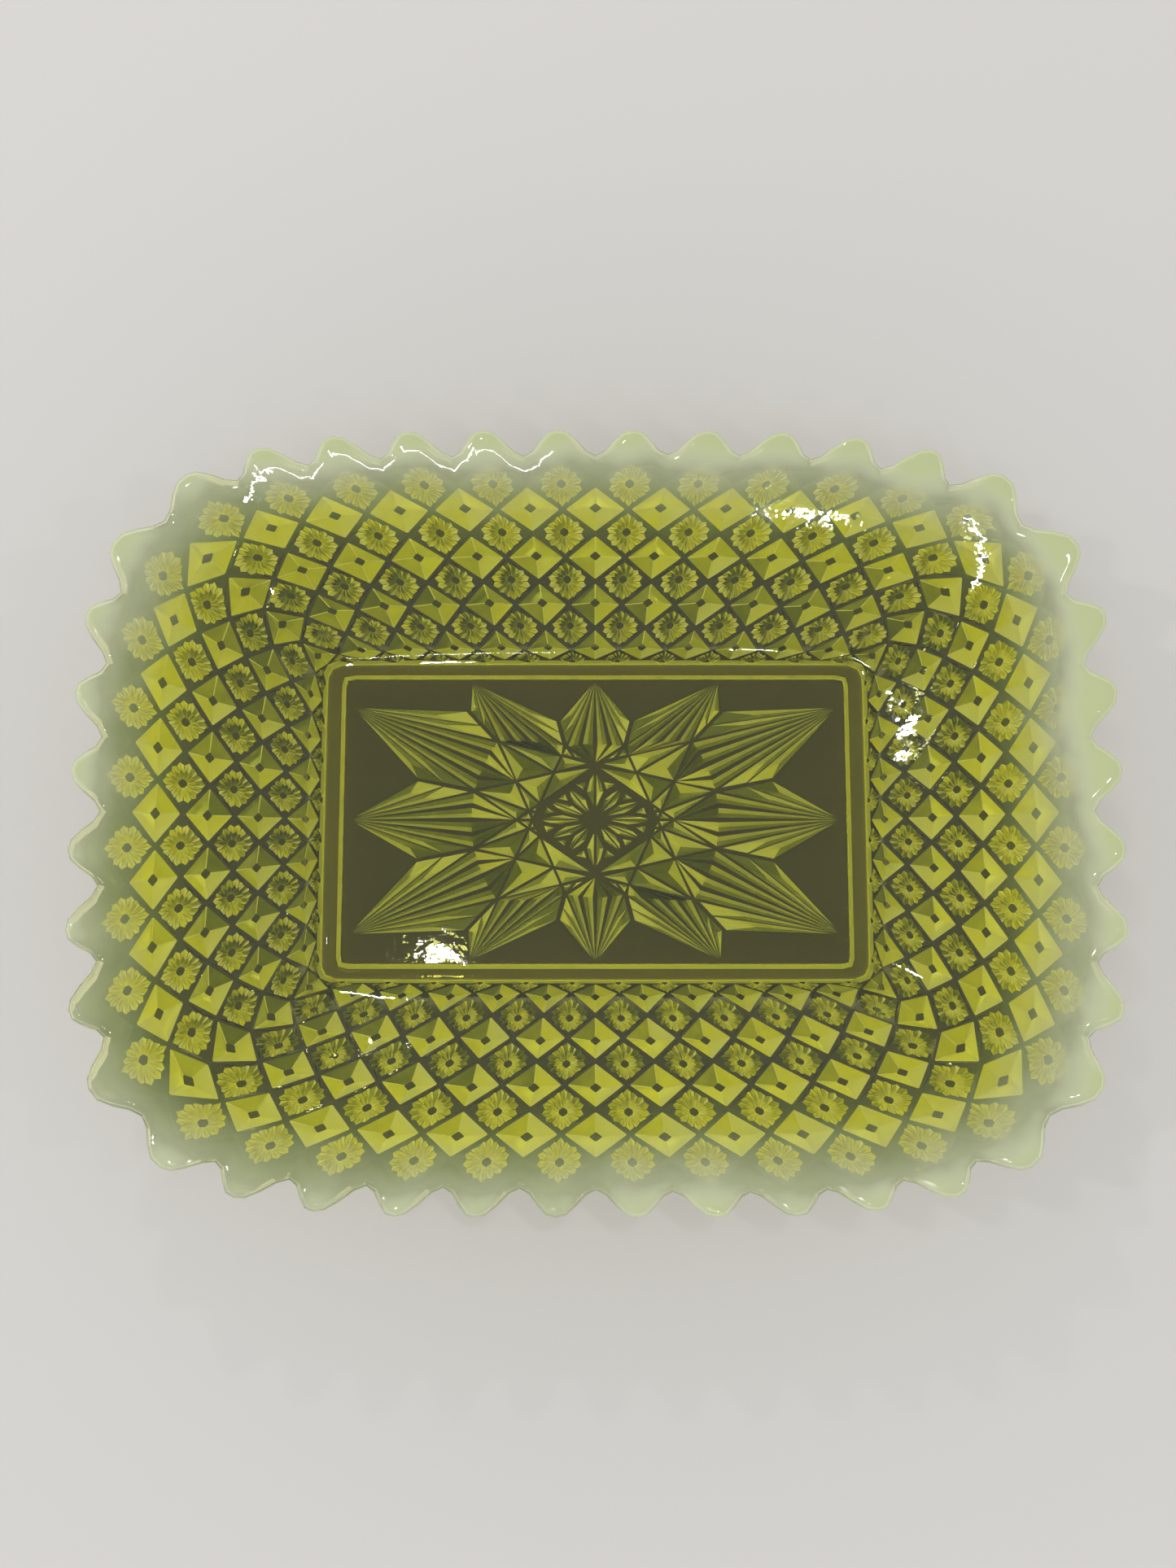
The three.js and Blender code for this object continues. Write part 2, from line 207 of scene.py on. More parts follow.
# Camera, above the front of the dish, and the studio, in metres
CAMERA_ELEVATION = math.radians(83.8)
CAMERA_DISTANCE = 0.352
CAMERA_TARGET = Vector((-0.0021, 0.0111, 0))
CAMERA_LENS = 27.03
CAMERA_SENSOR = 36
CAMERA_NEAREST = 0.01
FLOOR_HALF = 40.0
FLOOR_COLOUR = (0.58, 0.565, 0.545, 1)
FLOOR_ROUGHNESS = 0.7
STUDIO_LIGHT = 4.1


# ---------------------------------------------------------------- lines round the dish

def length_table(points):
    points = np.array(points, dtype=float)
    steps = np.hypot(*np.diff(points, axis=0).T)
    return points, np.concatenate([[0.0], np.cumsum(steps)])


def at_share(table, share):
    points, lengths = table
    wanted = np.asarray(share) * lengths[-1]
    return np.stack([np.interp(wanted, lengths, points[:, axis]) for axis in range(2)], axis=-1)


def rounded_rectangle(half_length, half_width, radius):
    """The two arcs of a quarter: from the middle of each side to the middle of the corner."""
    centre = np.array([half_length - radius, half_width - radius])
    corner = np.linspace(0, math.pi / 4, ARC_STEPS)
    from_end = [centre + radius * np.array([math.cos(a), math.sin(a)]) for a in corner]
    from_side = [centre + radius * np.array([math.sin(a), math.cos(a)]) for a in corner]
    return (length_table([[0, half_width], *from_side]), length_table([[half_length, 0], *from_end]))


def superellipse(half_length, half_width):
    power = RIM_SQUARENESS
    corner = math.atan((half_width / half_length) ** (power / (power - 1)))

    def stretch(start):
        angles = np.linspace(start, corner, LINE_STEPS)
        along = (np.cos(angles) / half_length) ** power + (np.sin(angles) / half_width) ** power
        radius = along ** (-1 / power)
        return length_table(np.stack([radius * np.cos(angles), radius * np.sin(angles)], axis=-1))

    return stretch(math.pi / 2), stretch(0)


def plain_share(column, columns_to_corner):
    return column / columns_to_corner


def wide_corner_share(column, columns_to_corner):
    past = np.maximum(column - (columns_to_corner - 0.5), 0)
    return (column + 2 * CORNER_EXTRA * past) / (columns_to_corner + CORNER_EXTRA)


def round_line(quarter_arcs, share_rule, columns):
    """Points of a closed line at columns counted clockwise from the middle of the back."""
    turn = np.mod(np.asarray(columns, dtype=float), COLUMNS)
    quarter = np.minimum((turn // QUARTER).astype(int), 3)
    inside = turn - quarter * QUARTER
    column = np.where(quarter % 2 == 0, inside, QUARTER - inside)
    long_arc, short_arc = quarter_arcs
    on_long = at_share(long_arc, np.clip(share_rule(column, CORNER_COLUMN), 0, 1))
    to_corner = QUARTER - CORNER_COLUMN
    on_short = at_share(short_arc, np.clip(share_rule(QUARTER - column, to_corner), 0, 1))
    points = np.where((column <= CORNER_COLUMN)[..., None], on_long, on_short)
    sign_x = np.where(quarter < 2, 1, -1)
    sign_y = np.where((quarter == 0) | (quarter == 3), 1, -1)
    return points * np.stack([sign_x, sign_y], axis=-1)


foot_arcs = rounded_rectangle(FOOT_HALF_LENGTH, FOOT_HALF_WIDTH, FOOT_CORNER_RADIUS)
rim_arcs = superellipse(RIM_HALF_LENGTH, RIM_HALF_WIDTH)
inner_foot_arcs = rounded_rectangle(
    FOOT_HALF_LENGTH - INNER_SHIFT, FOOT_HALF_WIDTH - INNER_SHIFT, INNER_CORNER_RADIUS)
inner_rim_arcs = superellipse(
    RIM_HALF_LENGTH - INNER_RIM_SHIFT, RIM_HALF_WIDTH - INNER_RIM_SHIFT)


# ---------------------------------------------------------------- surfaces of the wall

def climb(share):
    return WALL_START + WALL_RISE * share - WALL_EASING * share * share


def loft(foot, rim, columns, share, height):
    columns, share = np.broadcast_arrays(np.asarray(columns, float), np.asarray(share, float))
    low = round_line(foot, plain_share, columns)
    high = round_line(rim, wide_corner_share, columns)
    flat = low + (high - low) * share[..., None]
    return np.concatenate([flat, height(share)[..., None]], axis=-1)


def outer_point(columns, share):
    return loft(foot_arcs, rim_arcs, columns, share, climb)


def inner_height(share):
    """Smooth inner surface: the flat of the well turns up into the wall in a soft fillet."""
    wall = climb(share) + INNER_LIFT
    return FLOOR_TOP + FILLET * np.logaddexp(0, (wall - FLOOR_TOP) / FILLET * 2) / 2


def inner_point(columns, share):
    return loft(inner_foot_arcs, inner_rim_arcs, columns, share, inner_height)


def surface_frame(point_at, columns, share):
    small = 0.01
    along = point_at(columns + small, share) - point_at(columns - small, share)
    up = point_at(columns, share + small) - point_at(columns, share - small)
    normal = np.cross(along, up)
    normal /= np.linalg.norm(normal, axis=-1, keepdims=True)
    return along / (2 * small), up / (2 * small), normal


def wall_point(columns, share, depth):
    """A point in the wall, at a depth of glass under the tops of the pattern."""
    columns, share, depth = np.broadcast_arrays(
        np.asarray(columns, float), np.asarray(share, float), np.asarray(depth, float))
    normal = surface_frame(outer_point, columns, share)[2]
    return outer_point(columns, share) + normal * depth[..., None]


def row_share(row):
    row = np.asarray(row, dtype=float)
    return np.where(row < 1, FIRST_ROW * row, FIRST_ROW + ROW_STEP * (row - 1))


def pattern_point(column, row, across, along, depth):
    """A point of a cell: across and along run from -1 to 1 between the cell's corners."""
    across, along, depth = (np.asarray(v, float) for v in (across, along, depth))
    columns, rows = column + across / 2, np.maximum(row + along, 0)
    place = wall_point(columns, row_share(np.maximum(rows, 1)), depth)
    on_foot = outer_point(columns, 0 * rows)
    on_foot[..., 2] += depth * FOOT_PLANE
    return on_foot + (place - on_foot) * np.minimum(rows, 1)[..., None]


# ---------------------------------------------------------------- mesh building

CUT = "cut"


class Shell:
    """Collects faces over shared points. A face is smooth or flat, and plain or a bright facet.

    A facet's value is how bright it is painted, as painted light and shade. For CUT the value is worked
    out from the way it faces, as if lit from one side.
    """

    def __init__(self):
        self.points = []
        self.faces = []
        self.smooth = []
        self.facet = []
        self.under = []
        self.side = OUTSIDE
        self.chance = random.Random(CHANCE_SEED)

    def add(self, points):
        start = len(self.points)
        points = np.asarray(points, dtype=float).reshape(-1, 3)
        self.points.extend(points)
        return list(range(start, start + len(points)))

    def face(self, corners, smooth=False, facet=0.0):
        kept = [c for i, c in enumerate(corners) if c != corners[i - 1]]
        if len(kept) > 2:
            self.faces.append(kept)
            self.smooth.append(smooth)
            self.facet.append(self.painted_light(kept) if facet == CUT else facet)
            self.under.append(self.side)

    def painted_light(self, corners):
        """Painted light and shade of a cut facet: it depends on the way it faces, as if lit from one
        side, and its least brightness rises higher up the wall.
        """
        a, b, c = (self.points[i] for i in corners[:3])
        normal = np.cross(b - a, c - a)
        flat = np.hypot(normal[0], normal[1])
        if flat < 1e-9:
            return PAINTED_LIGHT_LEVEL
        sign = -1 if normal[2] > 0 else 1
        facing = sign * (normal[0] * PAINTED_LIGHT_SIDE[0] + normal[1] * PAINTED_LIGHT_SIDE[1]) / flat
        high = min(max((a[2] - HIGH_PAINTED_LIGHT_START) / HIGH_PAINTED_LIGHT_RISE, 0), 1)
        least = PAINTED_LIGHT_LEAST + (HIGH_PAINTED_LIGHT_LEAST - PAINTED_LIGHT_LEAST) * high
        return least + (1 - least) * (1 + facing) / 2 * self.chance.uniform(PAINTED_LIGHT_CHANCE, 1.0)

    def strip(self, low, high, closed=False, smooth=False, facet=0.0):
        count = len(low) if closed else len(low) - 1
        for i in range(count):
            j = (i + 1) % len(low)
            self.face([low[i], low[j], high[j], high[i]], smooth, facet)

    def fan(self, centre, ring, closed=True, smooth=False, facet=0.0):
        count = len(ring) if closed else len(ring) - 1
        for i in range(count):
            self.face([centre, ring[i], ring[(i + 1) % len(ring)]], smooth, facet)

    def bridge(self, outer, outer_angles, inner, inner_angles, closed=True):
        """Triangles between two loops whose points are given in order of angle."""
        i = j = 0
        outer_turns = list(outer_angles) + ([outer_angles[0] + math.tau] if closed else [])
        inner_turns = list(inner_angles) + ([inner_angles[0] + math.tau] if closed else [])
        last_i, last_j = len(outer_turns) - 1, len(inner_turns) - 1
        while i < last_i or j < last_j:
            outer_next = outer_turns[i + 1] if i < last_i else math.inf
            inner_next = inner_turns[j + 1] if j < last_j else math.inf
            at_outer, at_inner = outer[i % len(outer)], inner[j % len(inner)]
            middle_outer = (outer_turns[i] + outer_next) / 2
            if j == last_j or (i < last_i and middle_outer < inner_next):
                self.face([at_outer, outer[(i + 1) % len(outer)], at_inner])
                i += 1
            else:
                self.face([at_outer, inner[(j + 1) % len(inner)], at_inner])
                j += 1


shell = Shell()


# ---------------------------------------------------------------- the pattern on the wall

AROUND = [(1, 0), (0, 1), (-1, 0), (0, -1)]


def add_pyramid(column, row):
    """A four-sided pyramid with a flat square top and a narrow flat along each ridge."""
    def ring(reach, chamfer, depth):
        places = []
        for (x, y), (next_x, next_y) in zip(AROUND, AROUND[1:] + AROUND[:1]):
            for share in (chamfer, 1 - chamfer):
                places.append((reach * (x + (next_x - x) * share), reach * (y + (next_y - y) * share)))
        places = np.array(places)
        return shell.add(pattern_point(column, row, places[:, 0], places[:, 1], depth))

    corner_places = np.array(AROUND)
    corners = shell.add(pattern_point(column, row, corner_places[:, 0], corner_places[:, 1], RELIEF))
    foot = ring(1 - GROOVE, RIDGE_FLAT, RELIEF)
    top = ring(PYRAMID_TOP, TOP_RIDGE_FLAT, 0)
    for side in range(4):
        after = (side + 1) % 4
        a, b, c = 2 * side, 2 * side + 1, (2 * side + 2) % 8
        shell.face([corners[side], corners[after], foot[b], foot[a]])
        shell.face([corners[after], foot[c], foot[b]])
        # The sides get painted light and shade by the way they face; the narrow ridge flats are a
        # painted highlight
        shell.face([foot[a], foot[b], top[b], top[a]], facet=CUT)
        shell.face([foot[b], foot[c], top[c], top[b]], facet=RIDGE_PAINTED_HIGHLIGHT)
    shell.face(top)


def daisy_size(column, row):
    """Half the width and half the height of a cell, and the radius of the daisy in it."""
    across, along = np.array([-1, 1, 0, 0]), np.array([0, 0, 0, 1])
    left, right, middle, top = pattern_point(column, row, across, along, RELIEF)
    half_width, height = np.linalg.norm(right - left) / 2, np.linalg.norm(top - middle)
    return half_width, height, DAISY_SIZE * (half_width + height)


def daisy_places(column, row, turns, reach):
    """Places in a cell, as across and along, on a circle that the cell's edge may flatten."""
    half_width, height, radius = daisy_size(column, row)
    across, along = radius * np.cos(turns) / half_width, radius * np.sin(turns) / height
    limit = (1 - GROOVE / 2) / (np.abs(across) + np.abs(along))
    scale = reach * np.minimum(1, limit)
    return across * scale, along * scale


def add_petals(column, row, first, last):
    """Petals between two turns. Returns the outline, its turns, and the points of each ring."""
    half_step = math.pi / PETALS
    count = round((last - first) / (2 * half_step))
    rims = first + half_step * np.arange(2 * count + 1)
    on_ridge = np.arange(2 * count + 1) % 2 == 1
    reaches = np.where(on_ridge, PETAL_RIDGE, PETAL_VALLEY)
    depths = np.where(on_ridge, RIDGE_DEPTH, VALLEY_DEPTH)

    def ring(turns, reach, depth):
        across, along = daisy_places(column, row, turns, reach)
        if row == 0:
            along[[0, -1]] = 0
        return shell.add(pattern_point(column, row, across, along, depth))

    hub = ring(rims, np.full(len(rims), HUB), 0 * rims)
    middle = ring(rims, reaches, depths)
    turns, reach = [], []
    for petal in range(count):
        tip = first + half_step * (2 * petal + 1)
        turns += [tip - PETAL_SHARE * half_step, tip, tip + PETAL_SHARE * half_step]
        reach += [PETAL_NOTCH, 1.0, PETAL_NOTCH]
    if row == 0:
        turns[0], turns[-1] = first, last
    turns, reach = np.array(turns), np.array(reach)
    outline = ring(turns, reach, np.full(len(turns), RELIEF))
    # The petal facets get painted light and shade by the way they face
    shell.strip(hub, middle, facet=CUT)
    for petal in range(count):
        left, tip, right = outline[3 * petal:3 * petal + 3]
        before, ridge, after = middle[2 * petal:2 * petal + 3]
        shell.face([before, ridge, tip, left], facet=CUT)
        shell.face([ridge, after, right, tip], facet=CUT)
        if petal + 1 < count or row > 0:
            shell.face([after, outline[(3 * petal + 3) % len(outline)], right])
    return outline, turns, hub, middle


def add_daisy(column, row, edge_steps=1):
    """A daisy of pointed petals round a flat hub, and the flat ground round it."""
    outline, turns, hub, _ = add_petals(column, row, 0, math.tau)
    centre = shell.add(pattern_point(column, row, np.zeros(1), np.zeros(1), np.zeros(1)))[0]
    shell.fan(centre, hub)
    places, edge_turns = [], []
    half_width, height, _ = daisy_size(column, row)
    for i, ((x, y), (next_x, next_y)) in enumerate(zip(AROUND, AROUND[1:] + AROUND[:1])):
        steps = edge_steps if i < 2 else 1
        for share in np.arange(steps) / steps:
            place = (x + (next_x - x) * share, y + (next_y - y) * share)
            places.append(place)
            edge_turns.append(math.atan2(place[1] * height, place[0] * half_width) % math.tau)
    places = np.array(places)
    corners = shell.add(pattern_point(column, row, places[:, 0], places[:, 1], RELIEF))
    shell.bridge(corners, edge_turns, outline, list(turns))


def add_half_daisy(column):
    """The upper half of a daisy that the foot cuts. Returns its edge along the foot."""
    outline, turns, hub, middle = add_petals(column, 0, 0, math.pi)
    centre = shell.add(pattern_point(column, 0, np.zeros(1), np.zeros(1), np.zeros(1)))[0]
    shell.fan(centre, hub, closed=False)
    corners = shell.add(pattern_point(
        column, 0, np.array([1, 0, -1]), np.array([0, 1, 0]), RELIEF))
    shell.bridge(corners, [0, math.pi / 2, math.pi], outline, list(turns), closed=False)
    edge = [corners[2], outline[-1], middle[-1], hub[-1], centre, hub[0], middle[0], outline[0]]
    half_width, _, radius = daisy_size(column, 0)
    reach = radius / half_width
    offsets = [-1, -PETAL_NOTCH * reach, -PETAL_VALLEY * reach, -HUB * reach, 0]
    offsets += [HUB * reach, PETAL_VALLEY * reach, PETAL_NOTCH * reach]
    return edge, [column + offset / 2 for offset in offsets]


def add_pattern():
    foot_edge, foot_columns = [], []
    for column in range(COLUMNS):
        edge, columns = add_half_daisy(column + 0.5)
        foot_edge += edge
        foot_columns += columns
        for row in range(1, LAST_ROW + 1):
            if row % 2 == 1:
                add_pyramid(column, row)
            else:
                steps = SAMPLES // 2 if row == LAST_ROW else 1
                add_daisy(column + 0.5, row, steps)
    return foot_edge, np.array(foot_columns)


# ---------------------------------------------------------------- the foot

def add_foot(edge, columns):
    """The standing band, from the pattern's lower edge to the floor's underside."""
    sections = []
    for inset, height in FOOT_OUTSIDE:
        sections.append((FOOT_HALF_LENGTH - inset, FOOT_HALF_WIDTH - inset, height, FOOT_CORNER_RADIUS))
    for inset, height, radius in FOOT_INSIDE:
        sections.append((FOOT_INNER_LENGTH - inset, FOOT_INNER_WIDTH - inset, height, radius))
    last = edge
    for i, (half_length, half_width, height, radius) in enumerate(sections):
        line = round_line(rounded_rectangle(half_length, half_width, radius), plain_share, columns)
        ring = shell.add(np.column_stack([line, np.full(len(line), height)]))
        # Two strips on the band's outside and two on its inner side are painted as bright highlight
        # lines
        shell.strip(ring, last, closed=True, smooth=i > 0, facet=FOOT_EDGE_PAINTED_HIGHLIGHTS.get(i, 0.0))
        last = ring
    return last


# ---------------------------------------------------------------- the star under the floor

def mirrored(quarter_points, index, last):
    """A point of a ring that is mirrored in both axes, counted clockwise from the back."""
    quarter, place = divmod(index % STAR_POINTS, 3)
    point = quarter_points[place if quarter % 2 == 0 else last - place]
    return point * np.array([1 if quarter < 2 else -1, 1 if quarter in (0, 3) else -1])


def star_tip(index):
    return mirrored(STAR_TIPS, index, 3)


def star_notch(index):
    """The notch between a tip and the next one."""
    return mirrored(STAR_NOTCHES, index, 2)


def left_of(a, b, point):
    return (b[0] - a[0]) * (point[1] - a[1]) - (b[1] - a[1]) * (point[0] - a[0])


def clip(corners, a, b):
    """The part of a convex polygon on the left of the line from a to b."""
    kept = []
    for here, after in zip(corners, corners[1:] + corners[:1]):
        side_here, side_after = left_of(a, b, here), left_of(a, b, after)
        if side_here >= 0:
            kept.append(here)
        if side_here * side_after < 0:
            kept.append(here + (after - here) * side_here / (side_here - side_after))
    return kept


def area_of(corners):
    return sum(left_of(np.zeros(2), a, b) for a, b in zip(corners, corners[1:] + corners[:1])) / 2


def anticlockwise(corners):
    corners = [np.asarray(c, float) for c in corners]
    return corners if area_of(corners) > 0 else corners[::-1]


def inset_polygon(corners, margin):
    """A convex polygon with each side moved inwards; empty where too little is left."""
    corners = anticlockwise(corners)
    left = corners
    for a, b in zip(corners, corners[1:] + corners[:1]):
        along = (b - a) / np.linalg.norm(b - a)
        shift = np.array([-along[1], along[0]]) * margin
        left = clip(left, a + shift, b + shift)
    tidy = [c for i, c in enumerate(left) if np.linalg.norm(c - left[i - 1]) > LEAST_SIDE]
    return tidy if len(tidy) > 2 and area_of(tidy) > LEAST_CELL else []


def arrangement():
    """The faces that the lines from each tip to the fifth one on cut out between the tips."""
    faces = [[star_tip(i) for i in range(STAR_POINTS)][::-1]]
    for i in range(STAR_POINTS):
        a, b = star_tip(i), star_tip(i + STAR_REACH)
        halves = [half for face in faces for half in (clip(face, a, b), clip(face, b, a))]
        faces = [half for half in halves if len(half) > 2 and area_of(half) > LEAST_FACE]
    return faces


def tips_in(face):
    tips = [star_tip(i) for i in range(STAR_POINTS)]
    return [i for i, tip in enumerate(tips) if min(np.linalg.norm(c - tip) for c in face) < SAME_PLACE]


def flute_roofs(face, tip):
    """Ridged flutes side by side, from the tip over a wide shoulder and down to the inner corner."""
    start = int(np.argmin([np.linalg.norm(c - tip) for c in face]))
    left, right = face[(start + 1) % len(face)], face[start - 1]
    inner = max(face, key=lambda corner: np.linalg.norm(corner - tip))
    outward = tip - (left + right) / 2
    bow = outward / np.linalg.norm(outward) * np.linalg.norm(right - left) * SHOULDER_BOW
    shares = np.linspace(0, 1, FLUTES + 1)
    shoulder = [left + (right - left) * s + bow * math.sin(math.pi * s) for s in shares]
    roofs = []
    for a, b in zip(shoulder, shoulder[1:]):
        peak = (a + b) / 2
        corners = [tip, a, inner, b]
        drawn_in = [corner + (peak - corner) * share for corner, share in zip(corners, FLUTE_MARGINS)]
        roofs.append((anticlockwise(drawn_in), peak, np.linalg.norm(b - a) / 2))
    return roofs


def valley_roofs(face, pair):
    """Two long triangles on each side of the valley between neighbouring tips."""
    first = pair[0] if pair[1] == pair[0] + 1 else pair[1]
    notch = star_notch(first)
    tips = [star_tip(i) for i in pair]
    bottom = next(c for c in face if min(np.linalg.norm(c - tip) for tip in tips) > SAME_PLACE)
    half_way = (notch + bottom) / 2
    roofs = []
    for tip in tips:
        for cell in ([tip, notch, half_way], [tip, half_way, bottom]):
            corners = anticlockwise(cell)
            peak, radius = widest_place(corners)
            drawn_in = [corner + (peak - corner) * VALLEY_MARGIN for corner in corners]
            roofs.append((drawn_in, peak, radius))
    return roofs


def plain_roofs(cells, margin):
    roofs = []
    for cell in cells:
        corners = inset_polygon(cell, margin)
        if corners:
            roofs.append((corners, *widest_place(corners)))
    return roofs


def reach_in(face, direction):
    """How far a line from the middle goes before it meets the side of the face."""
    reaches = []
    for a, b in zip(face, face[1:] + face[:1]):
        across = left_of(np.zeros(2), direction, b - a)
        if abs(across) > 1e-9:
            along = left_of(np.zeros(2), a, b - a) / across
            if along > 0:
                reaches.append(along)
    return min(reaches)


def rosette_cells(face):
    """Pairs of spears like the hours of a clock, and a small triangle between neighbours."""
    cells = []
    for i in range(2 * STAR_POINTS):
        turn = i * math.pi / STAR_POINTS
        out = np.array([math.sin(turn), math.cos(turn)])
        side = np.array([out[1], -out[0]])
        reach = reach_in(face, out * ROSETTE_STRETCH) * ROSETTE_REACH
        hands = (1, -1) if i % 2 == 0 else (0,)
        for hand in hands:
            outline = SPEAR if hand else SMALL_TRIANGLE
            cell = [out * along + side * (hand or 1) * across for along, across in outline]
            cells.append([corner * reach * ROSETTE_STRETCH for corner in cell])
    return cells


def split_from_tip(face):
    """Cuts a cell in two from its outermost corner to what lies opposite."""
    count = len(face)
    outer = max(range(count), key=lambda i: np.linalg.norm(face[i]))
    across, other = face[(outer + count // 2) % count], face[(outer + (count + 1) // 2) % count]
    opposite = (across + other) / 2
    return clip(face, face[outer], opposite), clip(face, opposite, face[outer])


def star_roofs():
    """Every raised cell of the star: its corners, the place of its peak and its half width."""
    roofs = []
    for face in arrangement():
        tips = tips_in(face)
        if len(tips) == 2:
            roofs += valley_roofs(face, tips)
        elif len(tips) == 1:
            roofs += flute_roofs(face, star_tip(tips[0]))
        elif min(left_of(a, b, np.zeros(2)) for a, b in zip(face, face[1:] + face[:1])) > 0:
            roofs += plain_roofs(rosette_cells(face), 0)
        else:
            roofs += plain_roofs(split_from_tip(face), STAR_GROOVE)
    return roofs


def widest_place(corners):
    """Centre and radius of about the largest circle that fits in a convex polygon."""
    normals = []
    for a, b in zip(corners, corners[1:] + corners[:1]):
        along = (b - a) / np.linalg.norm(b - a)
        normals.append((np.array([-along[1], along[0]]), a))

    def gaps(place):
        return [float(np.dot(normal, place - a)) for normal, a in normals]

    place = sum(corners) / len(corners)
    step = min(gaps(place))
    for _ in range(CIRCLE_TRIALS):
        distances = gaps(place)
        trial = place + normals[int(np.argmin(distances))][0] * step
        if min(gaps(trial)) > min(distances):
            place = trial
        else:
            step *= CIRCLE_SHRINK
    return place, min(gaps(place))


def contains(corners, point):
    """Whether a point lies in a polygon, by counting the sides it would cross on its way out."""
    inside = False
    for a, b in zip(corners, corners[1:] + corners[:1]):
        if (a[1] > point[1]) != (b[1] > point[1]):
            if point[0] < a[0] + (b[0] - a[0]) * (point[1] - a[1]) / (b[1] - a[1]):
                inside = not inside
    return inside


def add_star(boundary):
    """Floor's underside: flat, with every cell of the star raised as a small faceted roof."""
    roofs = star_roofs()
    points = [Vector(shell.points[i][:2]) for i in boundary]
    edges = [(i, (i + 1) % len(boundary)) for i in range(len(boundary))]
    for corners, _, _ in roofs:
        start = len(points)
        points += [Vector(c) for c in corners]
        edges += [(start + i, start + (i + 1) % len(corners)) for i in range(len(corners))]
    flat_points, _, flat_faces, _, _, _ = delaunay_2d_cdt(points, edges, [], 1, 1e-6, False)
    flat = shell.add([(p.x, p.y, FOOT_HEIGHT) for p in flat_points])
    lowest = np.array([np.min(corners, axis=0) for corners, _, _ in roofs])
    highest = np.array([np.max(corners, axis=0) for corners, _, _ in roofs])
    for face in flat_faces:
        middle = np.array(sum((flat_points[i] for i in face), Vector((0, 0))) / len(face))
        near = np.flatnonzero(np.all((lowest <= middle) & (middle <= highest), axis=1))
        if not any(contains(roofs[i][0], middle) for i in near):
            shell.face([flat[i] for i in face])
    for corners, peak, half_width in roofs:
        height = FOOT_HEIGHT - min(half_width * STAR_SLOPE, STAR_MOST)
        base = shell.add([(*corner, FOOT_HEIGHT) for corner in corners])
        top = shell.add([(*peak, height)])[0]
        # Each roof is painted light on the sides to the left of the line from its peak to its far
        # corner, and painted shade on the others
        far = max(corners, key=lambda corner: np.linalg.norm(corner - peak))
        for i, (a, b) in enumerate(zip(corners, corners[1:] + corners[:1])):
            lit = left_of(peak, far, (a + b) / 2) > 0
            painted_light = (1.0 if lit else STAR_SHADE) * shell.chance.uniform(STAR_CHANCE, 1.0)
            shell.face([top, base[i], base[(i + 1) % len(base)]], facet=painted_light)


# ---------------------------------------------------------------- lip and inner surface

def wobble(columns, seed):
    """Small unevenness of a rim that was finished by hand, the same on every run."""
    turn = np.asarray(columns) * math.tau / COLUMNS
    return sum(math.sin(seed * k * 1.7) * np.sin(k * turn + seed * k) for k in (2, 3, 5, 7)) / 2


def lip_edge(columns):
    valley = ((1 + np.cos(math.tau * columns)) / 2) ** VALLEY_SHARPNESS
    depth = SCALLOP_DEPTH * (1 + DEPTH_WOBBLE * wobble(columns, DEPTH_SEED))
    return TIP_SHARE - depth * valley + TIP_WOBBLE * wobble(columns, TIP_SEED)


def middle_point(columns, share):
    return (wall_point(columns, share, GLASS - LIP) + inner_point(columns, share)) / 2


def lip_places():
    """For each sample: where the lip starts to round over, as a column and a share."""
    columns = np.arange(COLUMNS * SAMPLES) / SAMPLES
    share = lip_edge(columns)
    small = 0.005
    along, up, normal = surface_frame(middle_point, columns, share)
    ahead = middle_point(columns + small, lip_edge(columns + small))
    behind = middle_point(columns - small, lip_edge(columns - small))
    edge_run = ahead - behind
    edge_run /= np.linalg.norm(edge_run, axis=-1, keepdims=True)
    outward = np.cross(normal, edge_run)
    outward *= np.sign(np.sum(outward * up, axis=-1, keepdims=True))
    outward /= np.linalg.norm(outward, axis=-1, keepdims=True)
    inset = outward * LIP / 2
    a, b, c = (np.sum(x * y, axis=-1) for x, y in ((along, along), (along, up), (up, up)))
    p, q = np.sum(inset * along, axis=-1), np.sum(inset * up, axis=-1)
    scale = a * c - b * b
    move_column, move_share = (p * c - q * b) / scale, (q * a - p * b) / scale
    return columns, columns - move_column, share - move_share, outward


def add_inside(columns, lip_columns, lip_share):
    """Inner surface, from the flat of the well out to the lip. Returns its outermost ring."""
    rings = []
    low_rises = np.linspace(0, LOW_RISE, LOW_RINGS, endpoint=False)
    for rise in np.concatenate([low_rises, np.linspace(LOW_RISE, 1, HIGH_RINGS)]):
        ring_columns = columns + (lip_columns - columns) * rise ** 4
        ring_share = INNER_START + (lip_share - INNER_START) * rise
        rings.append(shell.add(inner_point(ring_columns, ring_share)))
    for i in rings[0]:
        shell.points[i][2] = FLOOR_TOP
    support = np.array([shell.points[i] for i in rings[0]])
    support[:, :2] *= WELL_SUPPORT
    support_ring = shell.add(support)
    centre = shell.add([(0, 0, FLOOR_TOP)])[0]
    shell.fan(centre, support_ring, smooth=True)
    shell.strip(support_ring, rings[0], closed=True, smooth=True)
    for low, high in zip(rings, rings[1:]):
        shell.strip(low, high, closed=True, smooth=True)
    return rings[-1]


